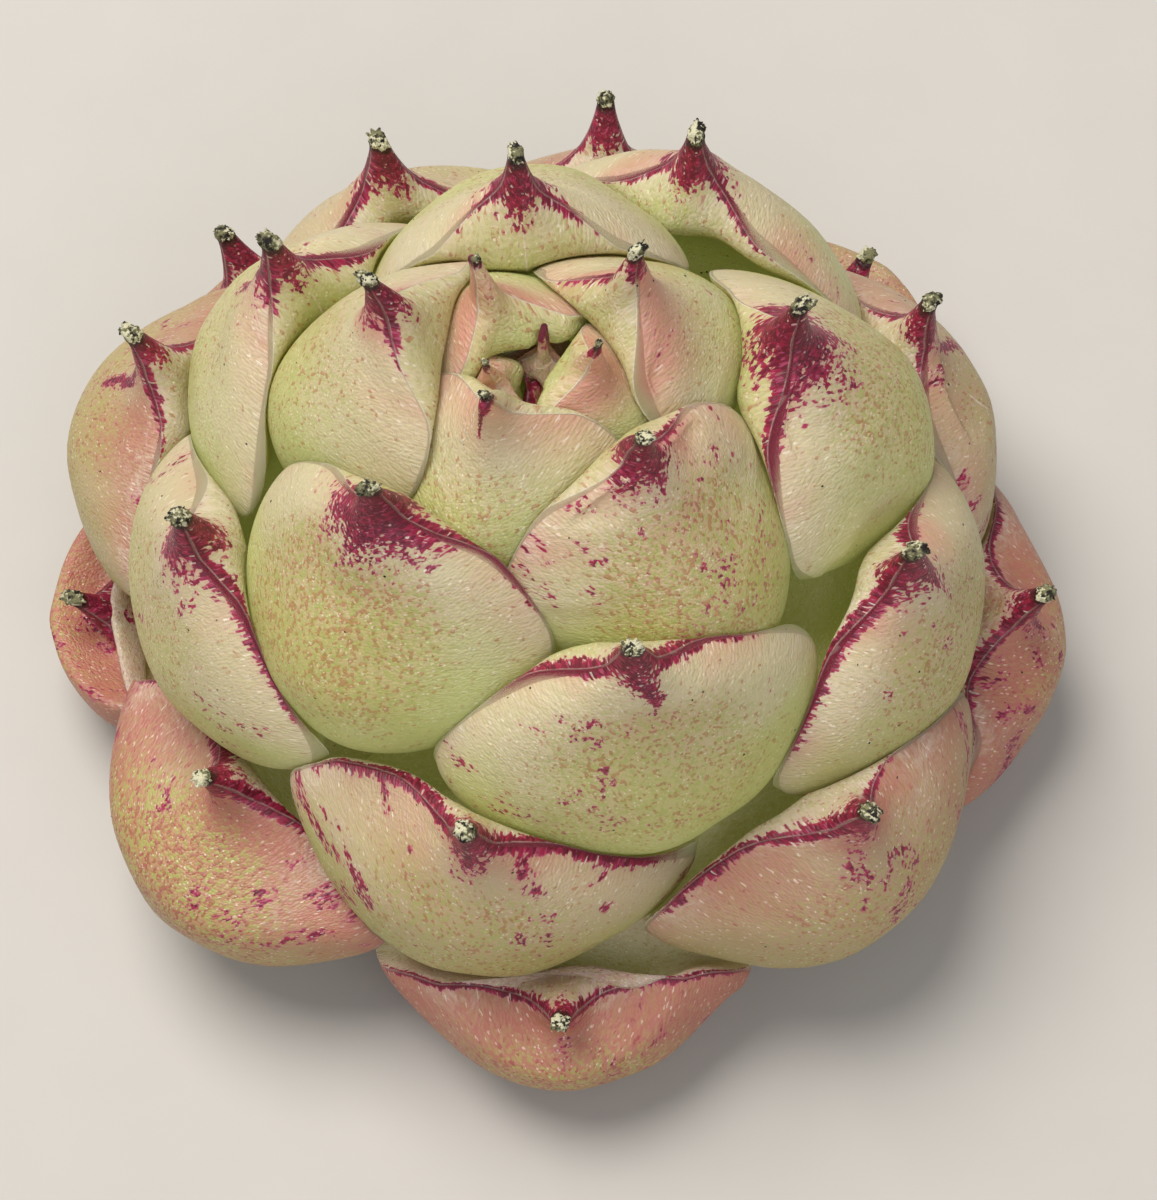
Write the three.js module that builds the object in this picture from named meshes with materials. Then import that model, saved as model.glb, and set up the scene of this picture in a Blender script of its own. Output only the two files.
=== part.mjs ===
// A pandora echeveria rosette, taken from its plant with a short stump of stem.
// Units are millimetres and degrees, +Z is up, and the plant faces -Y.
// The origin is the middle of the stem's flat cut, on the surface that the plant stands on.
import * as THREE from "three";

const { smoothstep, degToRad, lerp, clamp } = THREE.MathUtils;

// The leaves leave the stem in one spiral. Rank 0 is the youngest leaf, beside the growing tip.
const leafCount = 30;
const spiral = { divergence: 137.44, frontRank: 14, frontAzimuth: 278.5 };

// Each profile gives a size at some ranks, and runs smoothly between them.
const profiles = {
  tipOut: [[0, 0.5], [2, 1], [3, 2.2], [8, 5.9], [13, 11.2], [18, 16.5], [24, 21.5], [29, 22]],
  tipUp: [[0, 21], [2, 23.2], [3, 26], [8, 28.7], [13, 24.7], [18, 18.8], [24, 13], [29, 5.6]],
  bellyOut: [[0, 0.75], [3, 4], [6, 8.4], [9, 12.6], [11, 15], [14, 17.2], [19, 20.2], [24, 22.4], [29, 23.1]],
  bellyUp: [[0, 19.6], [3, 21.5], [6, 19.8], [9, 17.2], [14, 13.2], [19, 9.4], [24, 6.3], [29, 3.8]],
  rootUp: [[0, 18.8], [1, 17.6], [3, 16.8], [9, 13], [14, 10], [19, 7.6], [24, 5.4], [29, 3.6]],
  rootLean: [[0, 75], [3, 55], [9, 15], [14, 0], [20, -8], [27, -12], [29, -10]],
  apexLean: [[0, 95], [3, 98], [8, 116], [14, 124], [19, 112], [24, 95], [27, 84], [29, 74]],
  hornLean: [[0, 90], [3, 88], [8, 78], [14, 74], [20, 68], [29, 50]],
  width: [[0, 2.2], [3, 5.4], [5, 8.2], [9, 12.6], [14, 16.8], [20, 17.6], [25, 17.2], [29, 15.3]],
  thickness: [[0, 0.75], [3, 1.8], [5, 3.6], [8, 4.8], [14, 6.2], [20, 5.8], [29, 4.4]],
  wrapRadius: [[0, 2], [3, 6], [6, 9], [9, 10.5], [14, 12], [19, 13.5], [24, 16], [29, 18]],
  tipWidth: [[0, 0.6], [5, 0.7], [8, 0.9], [29, 1.1]],
};

// How single leaves of this plant depart from the even spiral, by rank.
const turned = {
  3: -4, 4: -6, 6: -18, 7: -10, 8: -8, 9: -8, 11: -3, 12: -1, 13: 5, 14: 3,
  18: 2, 19: 9, 20: -4, 21: -6, 22: 6, 23: 2, 24: 3, 25: -6, 29: -4,
};
const reachMore = { 8: 0.5, 9: 0.5, 12: 1, 13: 0.8, 14: -0.6, 22: 0.7, 24: -1.9, 27: 0.6 };
const liftMore = { 7: -0.5, 8: 0.6, 9: -0.6, 20: -0.6, 21: 1.2, 25: -1.1, 29: 0.8 };
const bellyMore = { 21: 1.8, 22: 0.3, 24: 2.3 };
const skew = { 11: 2, 19: -8, 22: 3 };
const narrowed = { 29: 0.78 };

// The leaf's form.
const petioleShare = 0.2; // width at the root, as a share of the leaf's width
const petioleThickness = 0.26;
const bendWindow = 5.5; // length over which the inner face rounds off a bend of the keel
const bendShare = 0.3; // and the most that it may be, as a share of the leaf's length
const marginHeight = 0.92; // height of the margin in the leaf's thickness, above the keel
const leastThickness = 0.9;

// Room between pieces, and how far a leaf yields to the ones inside it.
const gap = 0.41;
const dentCurve = 0.025; // a dent's push fades with the square of the distance, per millimetre
const reliefCurve = 0.2;
const swelling = 1.8; // how far a leaf fills out to lie against a younger one
const pressReach = 6;
const deepestHit = 18;
const retryRounds = 2;

// The stem, from its flat cut to the growing tip.
const stem = { cutRadius: 3.2, tipRadius: 1, straightUp: 4, height: 18, domeHeight: 0.5, sides: 24 };

const grids = {
  small: { rows: 12, columns: 8 },
  large: { rows: 16, columns: 11 },
  feelers: { rows: 31, columns: 21 },
};
const firstLargeRank = 8;

const colours = {
  youngLeaf: new THREE.Color(0xc9c78c),
  oldLeaf: new THREE.Color(0xcd9f86),
  stem: 0x9a9468,
};

// Reads a profile at a rank by a cubic curve through its points.
function atRank(profile, rank) {
  const end = profile.length - 1;
  const i = clamp(profile.findIndex(([r]) => r > rank) - 1, 0, end - 1);
  if (rank >= profile[end][0]) return profile[end][1];
  const slope = (j) => {
    const [a, b] = [profile[Math.max(j - 1, 0)], profile[Math.min(j + 1, end)]];
    return (b[1] - a[1]) / (b[0] - a[0]);
  };
  const [[from, start], [to, stop]] = [profile[i], profile[i + 1]];
  const span = to - from;
  const t = (rank - from) / span;
  const t2 = t * t;
  const t3 = t2 * t;
  return (2 * t3 - 3 * t2 + 1) * start + (t3 - 2 * t2 + t) * span * slope(i)
    + (3 * t2 - 2 * t3) * stop + (t3 - t2) * span * slope(i + 1);
}

function stemRadius(height) {
  const intoDome = clamp((height - stem.height) / stem.domeHeight, 0, 1);
  const taper = clamp((stem.height - height) / (stem.height - stem.straightUp), 0, 1);
  return lerp(stem.tipRadius, stem.cutRadius, taper) * Math.sqrt(1 - intoDome ** 2);
}

// Every size of one leaf. Points are (distance from the axis, height) in the leaf's upright plane.
function leafOf(rank) {
  const size = (name) => atRank(profiles[name], rank);
  const [reach, lift] = [reachMore[rank] ?? 0, liftMore[rank] ?? 0];
  const fullHalfWidth = size("width") / 2;
  const turnedBy = spiral.divergence * (rank - spiral.frontRank) + (turned[rank] ?? 0);
  return {
    azimuth: degToRad(spiral.frontAzimuth + turnedBy),
    tip: new THREE.Vector2(size("tipOut") + reach, size("tipUp") + lift),
    belly: new THREE.Vector2(
      size("bellyOut") + 0.7 * reach + (bellyMore[rank] ?? 0),
      size("bellyUp") + 0.5 * lift,
    ),
    root: new THREE.Vector2(stemRadius(size("rootUp")) + gap, size("rootUp")),
    rootLean: size("rootLean"),
    apexLean: size("apexLean"),
    hornLean: size("hornLean"),
    halfWidth: fullHalfWidth * (narrowed[rank] ?? 1),
    thickness: size("thickness"),
    wrapRadius: size("wrapRadius"),
    tipHalfWidth: size("tipWidth") / 2,
    hornLength: Math.min(2.7, 1.3 + 0.24 * fullHalfWidth),
    hornFlare: Math.min(0.9, 0.13 * fullHalfWidth),
    skew: Math.tan(degToRad(skew[rank] ?? 0)),
  };
}

function heading(angle, length = 1) {
  return new THREE.Vector2(Math.cos(degToRad(angle)), Math.sin(degToRad(angle))).multiplyScalar(length);
}

// A curve that leaves one point and reaches another in given directions.
function arch(from, leaving, startPull, to, arriving, endPull) {
  const chord = from.distanceTo(to);
  const first = from.clone().add(heading(leaving, startPull * chord));
  const second = to.clone().sub(heading(arriving, endPull * chord));
  return new THREE.CubicBezierCurve(from, first, second, to);
}

function runningMean(values, reach) {
  const held = (i) => values[clamp(i, 0, values.length - 1)];
  return values.map((_, i) => {
    let sum = 0;
    for (let k = -reach; k <= reach; k++) sum += held(i + k);
    return sum / (2 * reach + 1);
  });
}

// The line down the middle of the leaf's outer face, from root to horn tip, with its smoothed direction.
function keelOf(leaf) {
  const apex = leaf.tip.clone().sub(heading(lerp(leaf.apexLean, leaf.hornLean, 0.6), leaf.hornLength));
  const path = new THREE.CurvePath();
  path.add(arch(leaf.root, leaf.rootLean, 0.45, leaf.belly, 90, 0.42));
  path.add(arch(leaf.belly, 90, 0.42, apex, leaf.apexLean, 0.34));
  path.add(arch(apex, leaf.apexLean, 0.35, leaf.tip, leaf.hornLean, 0.4));
  const steps = 240;
  const length = path.getLength();
  const points = Array.from({ length: steps + 1 }, (_, i) => path.getPoint(i / steps));
  const turns = points.map((_, i) => {
    const step = points[Math.min(i + 1, steps)].clone().sub(points[Math.max(i - 1, 0)]);
    return Math.atan2(step.y, step.x);
  });
  for (let i = 1; i <= steps; i++) {
    while (turns[i] - turns[i - 1] > Math.PI) turns[i] -= 2 * Math.PI;
    while (turns[i] - turns[i - 1] < -Math.PI) turns[i] += 2 * Math.PI;
  }
  const window = Math.round((Math.min(bendWindow, bendShare * length) * steps) / length);
  let smooth = turns;
  for (let pass = 0; pass < 3; pass++) smooth = runningMean(smooth, window);
  return { length, points, turns: smooth, steps };
}

// Half the leaf's width at a distance from its tip: an ogee body that runs into a slender horn.
function halfWidthAt(leaf, along, length) {
  const fromTip = length - along;
  const { halfWidth: full, tipHalfWidth, hornLength, hornFlare } = leaf;
  const petiole = lerp(petioleShare, 1, smoothstep(along / length, -0.08, 0.7));
  const shoulder = Math.max(0, fromTip - 0.2 * full) / (0.4 * full);
  const body = full * petiole * (1 - Math.exp(-(shoulder ** 1.35)));
  const h = Math.min(fromTip / hornLength, 1.6);
  const horn = tipHalfWidth + hornFlare * (0.3 * h + 0.7 * h * h);
  return (body ** 2.6 + horn ** 2.6) ** (1 / 2.6);
}

function thicknessAt(leaf, along, length, halfWidth) {
  const fromTip = length - along;
  const body = leaf.thickness * lerp(petioleThickness, 1, smoothstep(along / length, 0, 0.5))
    * (1 - Math.exp(-((fromTip / (0.6 * leaf.halfWidth + 0.5)) ** 1.15)));
  const horn = Math.min(1.7 * halfWidth, 1.6 * leaf.tipHalfWidth + 0.45 * Math.min(fromTip, leaf.hornLength));
  return Math.max(body, horn);
}

// The inner and outer face of a leaf as rows of points from root to tip, before it is pressed.
function facesOf(leaf, keel, { rows, columns }) {
  const { length, points, turns, steps } = keel;
  const [east, north] = [Math.cos(leaf.azimuth), Math.sin(leaf.azimuth)];
  const place = (flat, side) => new THREE.Vector3(
    flat.x * east - side * north, flat.x * north + side * east, flat.y,
  );
  return Array.from({ length: rows }, (_, row) => {
    const share = 1 - (1 - row / (rows - 1)) ** 1.45;
    const at = Math.min(share * steps, steps - 1e-6);
    const [i, part] = [Math.floor(at), at % 1];
    const onKeel = points[i].clone().lerp(points[i + 1], part);
    const turn = lerp(turns[i], turns[i + 1], part);
    const forward = new THREE.Vector2(Math.cos(turn), Math.sin(turn));
    const inward = new THREE.Vector2(-forward.y, forward.x);
    const along = share * length;
    const halfWidth = halfWidthAt(leaf, along, length);
    const thickness = thicknessAt(leaf, along, length, halfWidth);
    const blade = smoothstep((length - along) / leaf.hornLength, 0.7, 1.5);
    const margin = lerp(0.5, marginHeight, blade);
    const wrap = blade * smoothstep(share, 0.35, 0.75) / (2 * leaf.wrapRadius);
    const shear = leaf.skew * blade * smoothstep(share, 0.3, 0.6);
    const cells = Array.from({ length: columns }, (_, column) => {
      const across = Math.cos((Math.PI * column) / (columns - 1));
      const side = halfWidth * across;
      const edge = Math.abs(across);
      const lift = side * side * wrap;
      const outerRise = lift + thickness * margin * (1 - Math.max(0, 1 - edge ** 1.95) ** 0.64);
      const innerRise = lift + thickness * (margin + (1 - margin) * Math.sqrt(Math.max(0, 1 - edge * edge)));
      const base = onKeel.clone().addScaledVector(forward, side * shear);
      return {
        edge, side, along,
        inner: place(base.clone().addScaledVector(inward, innerRise), side),
        outer: place(base.clone().addScaledVector(inward, outerRise), side),
      };
    });
    return { cells, outward: place(inward.clone().negate(), 0) };
  });
}

// How far a point of an inner face has to move outwards to clear the pieces already made.
function pushAt(point, outward, pieces) {
  const start = point.clone().addScaledVector(outward, pressReach);
  const ray = new THREE.Ray(start, outward.clone().negate());
  const hit = new THREE.Vector3();
  let push = 0;
  for (const { box, triangles } of pieces) {
    if (box.distanceToPoint(point) > pressReach || !ray.intersectsBox(box)) continue;
    for (const [a, b, c] of triangles) {
      if (!ray.intersectTriangle(a, b, c, false, hit)) continue;
      const depth = hit.distanceTo(start);
      if (depth < deepestHit) push = Math.max(push, pressReach - depth + gap);
    }
  }
  return push;
}

// The largest push that any feeler asks for here, fading with the distance to it.
function spread(asks, cell, curve) {
  let most = 0;
  for (const { push, along, side } of asks) {
    const away = (along - cell.along) ** 2 + (side - cell.side) ** 2;
    most = Math.max(most, push - curve * away);
  }
  return most;
}

// How far a point of an inner face could move inwards before it meets a younger leaf.
function roomAt(point, outward, pieces) {
  const ray = new THREE.Ray(point, outward.clone().negate());
  const hit = new THREE.Vector3();
  let room = pressReach;
  for (const { box, triangles } of pieces) {
    if (box.distanceToPoint(point) > 2 * swelling || !ray.intersectsBox(box)) continue;
    for (const [a, b, c] of triangles) {
      if (ray.intersectTriangle(a, b, c, false, hit)) room = Math.min(room, hit.distanceTo(point) - gap);
    }
  }
  return Math.max(room, 0);
}

// Averages each value with its neighbours, weighted 1-2-1 both ways.
function blurred(values) {
  const held = (list, i) => list[clamp(i, 0, list.length - 1)];
  return values.map((_, i) => values[i].map((_, j) => {
    let sum = 0;
    for (const [di, wi] of [[-1, 1], [0, 2], [1, 1]]) {
      for (const [dj, wj] of [[-1, 1], [0, 2], [1, 1]]) sum += wi * wj * held(held(values, i + di), j + dj);
    }
    return sum / 16;
  }));
}

// Reads a grid of values at a share of its rows and of its columns.
function readAt(values, rowShare, columnShare) {
  const [y, x] = [rowShare * (values.length - 1), columnShare * (values[0].length - 1)];
  const [i, j] = [Math.min(Math.floor(y), values.length - 2), Math.min(Math.floor(x), values[0].length - 2)];
  const across = (row) => lerp(row[j], row[j + 1], x - j);
  return lerp(across(values[i]), across(values[i + 1]), y - i);
}

// How far a point is from the stem, outwards from the axis.
function clearOfStem(point) {
  if (point.z > stem.height + stem.domeHeight) return pressReach;
  return Math.max(Math.hypot(point.x, point.y) - stemRadius(point.z) - gap, 0);
}

// How far the leaf fills out at each feeler, until its inner face lies against the younger leaves.
function swellOf(leaf, keel, feelers, asks, pieces) {
  const rooms = feelers.map(({ cells, outward }) => cells.map((cell) => {
    const pushed = cell.inner.clone().addScaledVector(outward, spread(asks, cell, dentCurve));
    return Math.min(roomAt(pushed, outward, pieces), clearOfStem(pushed));
  }));
  let swell = rooms.map((row) => row.map(
    (room) => Math.min(room, swelling) * (1 - smoothstep(room, swelling, 2 * swelling)),
  ));
  for (let pass = 0; pass < 3; pass++) swell = blurred(swell);
  return swell.map((row, i) => row.map((value, j) => {
    const fromTip = keel.length - feelers[i].cells[j].along;
    const free = smoothstep(fromTip / leaf.hornLength, 0.7, 1.6) * smoothstep(1 - fromTip / keel.length, 0.1, 0.4);
    return Math.min(value, rooms[i][j]) * free * (1 - 0.5 * feelers[i].cells[j].edge ** 4);
  }));
}

// The faces are flat between their points, so they can still cut a younger leaf: asks for what is left over.
function missedBy(faces, asks, swells, pieces) {
  const at = faces.map(({ cells, outward }, row) => cells.map((cell, column) => {
    const push = spread(asks, cell, dentCurve) - swells[row][column];
    return { cell, push, outward, point: cell.inner.clone().addScaledVector(outward, push) };
  }));
  const missed = [];
  for (let i = 0; i < at.length - 1; i++) {
    for (let j = 0; j < at[i].length - 1; j++) {
      const corners = [at[i][j], at[i][j + 1], at[i + 1][j], at[i + 1][j + 1]];
      for (const [a, b] of [[0, 0], [0, 1], [0, 2], [0, 3], [1, 2]]) {
        const [one, two] = [corners[a], corners[b]];
        const middle = one.point.clone().lerp(two.point, 0.5);
        const push = pushAt(middle, one.outward, pieces);
        if (push <= 0) continue;
        const along = (one.cell.along + two.cell.along) / 2;
        const side = (one.cell.side + two.cell.side) / 2;
        const swollen = (swells[i][j] + swells[i + 1][j + 1]) / 2;
        missed.push({ push: push + (one.push + two.push) / 2 + swollen, along, side });
      }
    }
  }
  return missed;
}

// Fits the inner face to the younger leaves, and moves the outer face where the leaf would get too thin.
function pressLeaf(leaf, keel, faces, pieces) {
  const asks = [];
  const feelers = facesOf(leaf, keel, grids.feelers);
  for (const { cells, outward } of feelers) {
    for (const { inner, along, side } of cells) {
      const push = pushAt(inner, outward, pieces);
      if (push > 0) asks.push({ push, along, side });
    }
  }
  const swell = swellOf(leaf, keel, feelers, asks, pieces);
  const swells = faces.map(({ cells }, row) => cells.map(
    (_, column) => readAt(swell, row / (faces.length - 1), column / (cells.length - 1)),
  ));
  for (let round = 0; round < retryRounds; round++) {
    asks.push(...missedBy(faces, asks, swells, pieces));
  }
  const reliefs = [];
  for (const [row, { cells, outward }] of faces.entries()) {
    for (const [column, cell] of cells.entries()) {
      cell.push = spread(asks, cell, dentCurve) - swells[row][column];
      cell.inner.addScaledVector(outward, cell.push);
      const left = cell.outer.clone().sub(cell.inner).dot(outward);
      const least = leastThickness * Math.sqrt(Math.max(0, 1 - cell.edge ** 2.3));
      reliefs.push({ push: least - left, along: cell.along, side: cell.side });
    }
  }
  for (const { cells, outward } of faces) {
    for (const cell of cells) {
      const followed = cell.push * cell.edge ** 3;
      const relief = cell.push < 0 ? followed : Math.max(spread(reliefs, cell, reliefCurve), followed);
      cell.outer.addScaledVector(outward, relief);
      if (cell.edge > 0.999) cell.outer.copy(cell.inner);
    }
  }
}

// A leaf's base clasps the stem, and a leaf that would reach below the surface lies flat on it.
function settle(vertex) {
  const least = stemRadius(vertex.z) + gap;
  const out = Math.hypot(vertex.x, vertex.y);
  const share = vertex.z < stem.height + stem.domeHeight && out < least ? least / out : 1;
  vertex.set(vertex.x * share, vertex.y * share, Math.max(vertex.z, 0));
}

// Joins a leaf's two faces into one closed skin.
function skinOf(faces, tipRound) {
  const rings = faces.map(({ cells }) => [
    ...cells.map((cell) => cell.inner),
    ...cells.slice(1, -1).reverse().map((cell) => cell.outer),
  ]);
  const middleOf = (ring) => ring.reduce((sum, p) => sum.add(p), new THREE.Vector3()).divideScalar(ring.length);
  const [last, beforeLast] = [middleOf(rings.at(-1)), middleOf(rings.at(-2))];
  const ahead = last.clone().sub(beforeLast).setLength(tipRound);
  const vertices = [...rings.flat(), middleOf(rings[0]), last.clone().add(ahead)];
  vertices.forEach(settle);
  const count = rings[0].length;
  const rootEnd = vertices.length - 2;
  const tipEnd = vertices.length - 1;
  const top = (rings.length - 1) * count;
  const index = [];
  for (let j = 0; j < count; j++) {
    const next = (j + 1) % count;
    for (let row = 0; row < top; row += count) {
      index.push(row + j, row + next, row + count + next, row + j, row + count + next, row + count + j);
    }
    index.push(rootEnd, next, j, tipEnd, top + j, top + next);
  }
  return { vertices, index };
}

function meshOf(name, geometry, colour, roughness) {
  const mesh = new THREE.Mesh(geometry, new THREE.MeshStandardMaterial({ color: colour, roughness, metalness: 0 }));
  mesh.name = name;
  return mesh;
}

// What the later leaves are pressed against.
function pieceOf(geometry) {
  const flat = geometry.index ? geometry.toNonIndexed() : geometry;
  const position = flat.getAttribute("position");
  const corner = (i) => new THREE.Vector3().fromBufferAttribute(position, i);
  const triangles = [];
  for (let i = 0; i < position.count; i += 3) triangles.push([corner(i), corner(i + 1), corner(i + 2)]);
  return { box: new THREE.Box3().setFromBufferAttribute(position), triangles };
}

function stemMesh() {
  const cutEdge = 0.35;
  const profile = [new THREE.Vector2(0, 0), new THREE.Vector2(stem.cutRadius - cutEdge, 0)];
  const rings = [cutEdge, 2, 4, 6.5, 9, 11.5, 14, 16, 18, 18.2, 18.4];
  for (const height of rings) profile.push(new THREE.Vector2(stemRadius(height), height));
  profile.push(new THREE.Vector2(0, stem.height + stem.domeHeight));
  const upright = new THREE.LatheGeometry(profile, stem.sides).rotateX(Math.PI / 2);
  return meshOf("stem", upright, colours.stem, 0.7);
}

function leafMesh(rank, pieces) {
  const leaf = leafOf(rank);
  const keel = keelOf(leaf);
  const faces = facesOf(leaf, keel, rank < firstLargeRank ? grids.small : grids.large);
  pressLeaf(leaf, keel, faces, pieces);
  const { vertices, index } = skinOf(faces, 0.5 * leaf.tipHalfWidth);
  const geometry = new THREE.BufferGeometry().setFromPoints(vertices).setIndex(index);
  geometry.computeVertexNormals();
  const colour = colours.youngLeaf.clone().lerp(colours.oldLeaf, rank / (leafCount - 1));
  return meshOf(`leaf_${String(rank + 1).padStart(2, "0")}`, geometry, colour, 0.45);
}

const rosette = new THREE.Group();
const stump = stemMesh();
const pieces = [];
for (let rank = 0; rank < leafCount; rank++) {
  const mesh = leafMesh(rank, pieces);
  pieces.push(pieceOf(mesh.geometry));
  rosette.add(mesh);
}
rosette.add(stump);

export default rosette;
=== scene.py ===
# A pandora echeveria rosette, standing on its stem stump and its lowest leaves.
import math

import bpy
import numpy as np
from mathutils import Matrix, Vector
from mathutils.bvhtree import BVHTree


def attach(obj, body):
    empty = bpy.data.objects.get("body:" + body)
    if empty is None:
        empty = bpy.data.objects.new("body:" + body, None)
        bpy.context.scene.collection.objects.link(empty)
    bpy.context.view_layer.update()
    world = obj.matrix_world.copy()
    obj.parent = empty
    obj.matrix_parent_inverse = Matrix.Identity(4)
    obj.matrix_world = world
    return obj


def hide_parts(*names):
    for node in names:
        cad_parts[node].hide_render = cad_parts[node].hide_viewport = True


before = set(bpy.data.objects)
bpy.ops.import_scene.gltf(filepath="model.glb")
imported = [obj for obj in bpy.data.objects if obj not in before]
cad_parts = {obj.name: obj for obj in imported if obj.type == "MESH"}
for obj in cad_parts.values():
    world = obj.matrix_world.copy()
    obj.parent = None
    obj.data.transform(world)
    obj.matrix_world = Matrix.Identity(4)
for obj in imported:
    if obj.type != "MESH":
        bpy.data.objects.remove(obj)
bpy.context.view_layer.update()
mm = 0.001

# Camera at the photograph's angle
cameraPlace = {
    "elevation": 62.0,
    "roll": 6.16,
    "distance": 134.3 * mm,
    "target": (0.76 * mm, -8.37 * mm, 19.37 * mm),
    "lens": 100.4,
    "sensor": 36.0,
}


def placeCamera():
    rise = math.radians(cameraPlace["elevation"])
    roll = math.radians(cameraPlace["roll"])
    forward = Vector((0, math.cos(rise), -math.sin(rise)))
    level = Vector((1, 0, 0))
    upright = Vector((0, math.sin(rise), math.cos(rise)))
    right = math.cos(roll) * level - math.sin(roll) * upright
    up = math.sin(roll) * level + math.cos(roll) * upright
    data = bpy.data.cameras.new("camera")
    data.lens = cameraPlace["lens"]
    data.sensor_width = cameraPlace["sensor"]
    data.clip_start = 0.001
    camera = bpy.data.objects.new("camera", data)
    bpy.context.scene.collection.objects.link(camera)
    turned = Matrix((right, up, -forward)).transposed().to_4x4()
    turned.translation = Vector(cameraPlace["target"]) - cameraPlace["distance"] * forward
    camera.matrix_world = turned
    bpy.context.scene.camera = camera


placeCamera()
print("camera placed")

# Form of the rosette, in millimetres and degrees. Rank 0 is the youngest leaf.
# The rule is the solids' own, with a narrower gap and with the tips of ranks 0 to 2 lifted into sight.
rosetteForm = {
    "leafCount": 30,
    "divergence": 137.44,
    "frontRank": 14,
    "frontAzimuth": 278.5,
    "tipOut": [(0, 0.5), (2, 1), (3, 2.2), (8, 5.9), (13, 11.2), (18, 16.5), (24, 21.5), (29, 22)],
    "tipUp": [(0, 21), (2, 23.2), (3, 26), (8, 28.7), (13, 24.7), (18, 18.8), (24, 13), (29, 5.6)],
    "bellyOut": [
        (0, 0.75), (3, 4), (6, 8.4), (9, 12.6), (11, 15), (14, 17.2), (19, 20.2), (24, 22.4), (29, 23.1),
    ],
    "bellyUp": [(0, 19.6), (3, 21.5), (6, 19.8), (9, 17.2), (14, 13.2), (19, 9.4), (24, 6.3), (29, 3.8)],
    "rootUp": [(0, 18.8), (1, 17.6), (3, 16.8), (9, 13), (14, 10), (19, 7.6), (24, 5.4), (29, 3.6)],
    "rootLean": [(0, 75), (3, 55), (9, 15), (14, 0), (20, -8), (27, -12), (29, -10)],
    "apexLean": [(0, 95), (3, 98), (8, 116), (14, 124), (19, 112), (24, 95), (27, 84), (29, 74)],
    "hornLean": [(0, 90), (3, 88), (8, 78), (14, 74), (20, 68), (29, 50)],
    "width": [(0, 2.2), (3, 5.4), (5, 8.2), (9, 12.6), (14, 16.8), (20, 17.6), (25, 17.2), (29, 15.3)],
    "thickness": [(0, 0.75), (3, 1.8), (5, 3.6), (8, 4.8), (14, 6.2), (20, 5.8), (29, 4.4)],
    "wrapRadius": [(0, 2), (3, 6), (6, 9), (9, 10.5), (14, 12), (19, 13.5), (24, 16), (29, 18)],
    "tipWidth": [(0, 0.25), (5, 0.34), (8, 0.5), (14, 0.68), (29, 0.7)],
    "shoulderDrop": [(0, 0.2), (3, 0.8), (6, 1.1), (8, 0.6), (10, 0.4), (14, 0.35), (29, 0.3)],
    "turned": {
        3: -4, 4: -6, 6: -18, 7: -10, 8: -8, 9: -8, 11: -3, 12: -1, 13: 5, 14: 3,
        18: 2, 19: 9, 20: -4, 21: -6, 22: 6, 23: 2, 24: 3, 25: -6, 29: -4,
    },
    "reachMore": {8: 0.5, 9: 0.5, 12: 1, 13: 0.8, 14: -0.6, 22: 0.7, 24: -1.9, 27: 0.6},
    "liftMore": {0: 1.7, 1: 1.4, 2: 1, 7: -0.5, 8: 0.6, 9: -0.6, 20: -0.6, 21: 1.2, 25: -1.1, 29: 0.8},
    "bellyMore": {21: 1.8, 22: 0.3, 24: 2.3},
    "skew": {11: 2, 19: -8, 22: 3},
    "narrowed": {29: 0.78},
    "petioleShare": 0.2,
    "bendWindow": 5.5,
    "bendShare": 0.3,
    "marginHeight": 0.92,
    "gap": 0.07,
    "leastThickness": 0.7,
    "swelling": 1.8,
    "stemCutRadius": 3.2,
    "stemTipRadius": 1.0,
    "stemStraightUp": 4.0,
    "stemHeight": 18.0,
    "stemDome": 0.5,
    "pressRows": 36,
    "pressColumns": 21,
    "pressCrowding": 1.45,
    "pressReach": 6.0,
}


def atRank(profile, rank):
    last = len(profile) - 1
    if rank >= profile[last][0]:
        return profile[last][1]
    i = max(k for k in range(last) if profile[k][0] <= rank)

    def slope(j):
        a, b = profile[max(j - 1, 0)], profile[min(j + 1, last)]
        return (b[1] - a[1]) / (b[0] - a[0])

    (begin, start), (end, stop) = profile[i], profile[i + 1]
    span = end - begin
    t = (rank - begin) / span
    curve = (2 * t**3 - 3 * t**2 + 1) * start + (3 * t**2 - 2 * t**3) * stop
    return curve + (t**3 - 2 * t**2 + t) * span * slope(i) + (t**3 - t**2) * span * slope(i + 1)


def smoothstep(low, high, value):
    t = np.clip((value - low) / (high - low), 0, 1)
    return t * t * (3 - 2 * t)


def mix(low, high, share):
    return low + (high - low) * share


def heading(angle):
    return np.array([math.cos(math.radians(angle)), math.sin(math.radians(angle))])


def stemRadius(height):
    form = rosetteForm
    top = form["stemHeight"]
    intoDome = np.clip((height - top) / form["stemDome"], 0, 1)
    taper = np.clip((top - height) / (top - form["stemStraightUp"]), 0, 1)
    return mix(form["stemTipRadius"], form["stemCutRadius"], taper) * np.sqrt(1 - intoDome**2)


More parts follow.
